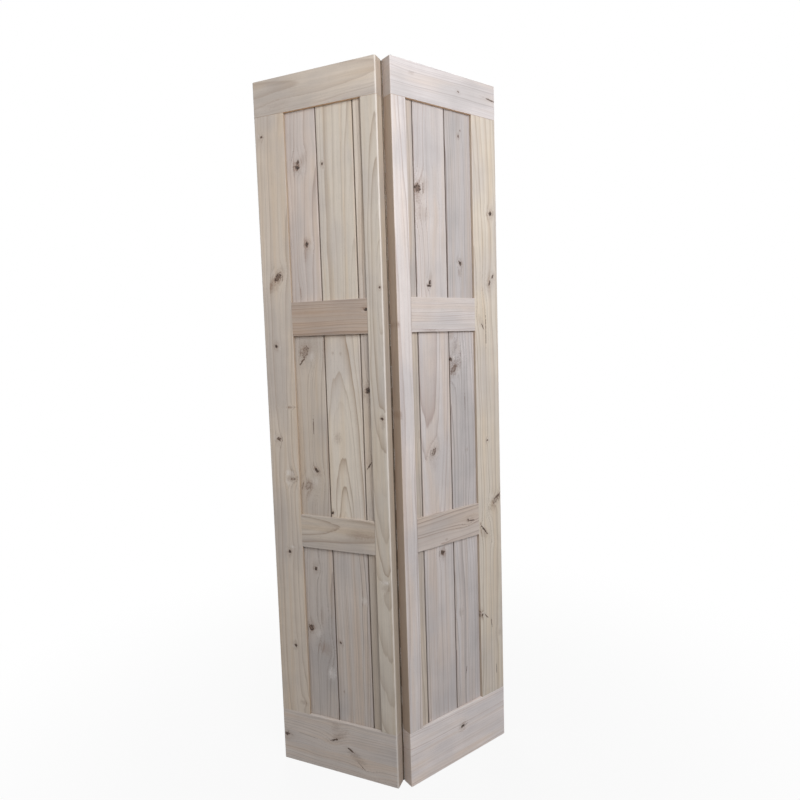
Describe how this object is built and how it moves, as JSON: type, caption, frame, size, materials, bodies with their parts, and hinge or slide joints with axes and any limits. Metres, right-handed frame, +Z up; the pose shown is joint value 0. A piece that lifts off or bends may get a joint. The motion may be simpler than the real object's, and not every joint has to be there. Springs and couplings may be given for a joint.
{
  "type": "folding barn door",
  "caption": "Two-leaf folding barn door in knotty alder: railed frames with tongue-and-groove plank panels, joined back to back by a continuous hinge.",
  "frame": {"origin": "on the floor, at the middle of the half-folded door's box", "axes": "+Z up, the fold points to the viewer along -Y, +X to the viewer's right"},
  "size_m": [0.7046, 0.2164, 2.032],
  "materials": {
    "frame_alder": "bare sanded alder",
    "panel_alder": "bare sanded alder",
    "hinge_bronze": "dark bronze lacquer"
  },
  "bodies": {
    "left_leaf": {"left_bottom_rail": "frame_alder", "left_fold_stile": "frame_alder", "left_hinge_leaf": "hinge_bronze", "left_lower_centre_board": "panel_alder", "left_lower_fold_board": "panel_alder", "left_lower_mid_rail": "frame_alder", "left_lower_outer_board": "panel_alder", "left_middle_centre_board": "panel_alder", "left_middle_fold_board": "panel_alder", "left_middle_outer_board": "panel_alder", "left_outer_stile": "frame_alder", "left_top_rail": "frame_alder", "left_upper_centre_board": "panel_alder", "left_upper_fold_board": "panel_alder", "left_upper_mid_rail": "frame_alder", "left_upper_outer_board": "panel_alder", "hinge_pin": "hinge_bronze"},
    "right_leaf": {"right_bottom_rail": "frame_alder", "right_fold_stile": "frame_alder", "right_hinge_leaf": "hinge_bronze", "right_lower_centre_board": "panel_alder", "right_lower_fold_board": "panel_alder", "right_lower_mid_rail": "frame_alder", "right_lower_outer_board": "panel_alder", "right_middle_centre_board": "panel_alder", "right_middle_fold_board": "panel_alder", "right_middle_outer_board": "panel_alder", "right_outer_stile": "frame_alder", "right_top_rail": "frame_alder", "right_upper_centre_board": "panel_alder", "right_upper_fold_board": "panel_alder", "right_upper_mid_rail": "frame_alder", "right_upper_outer_board": "panel_alder"}
  },
  "joints": [
    {"name": "leaf_fold", "type": "hinge", "parent": "left_leaf", "child": "right_leaf", "pos_m": [0, -0.07744, 0], "axis": [0, 0, 1], "range_deg": [-58.8, 121.2]}
  ]
}
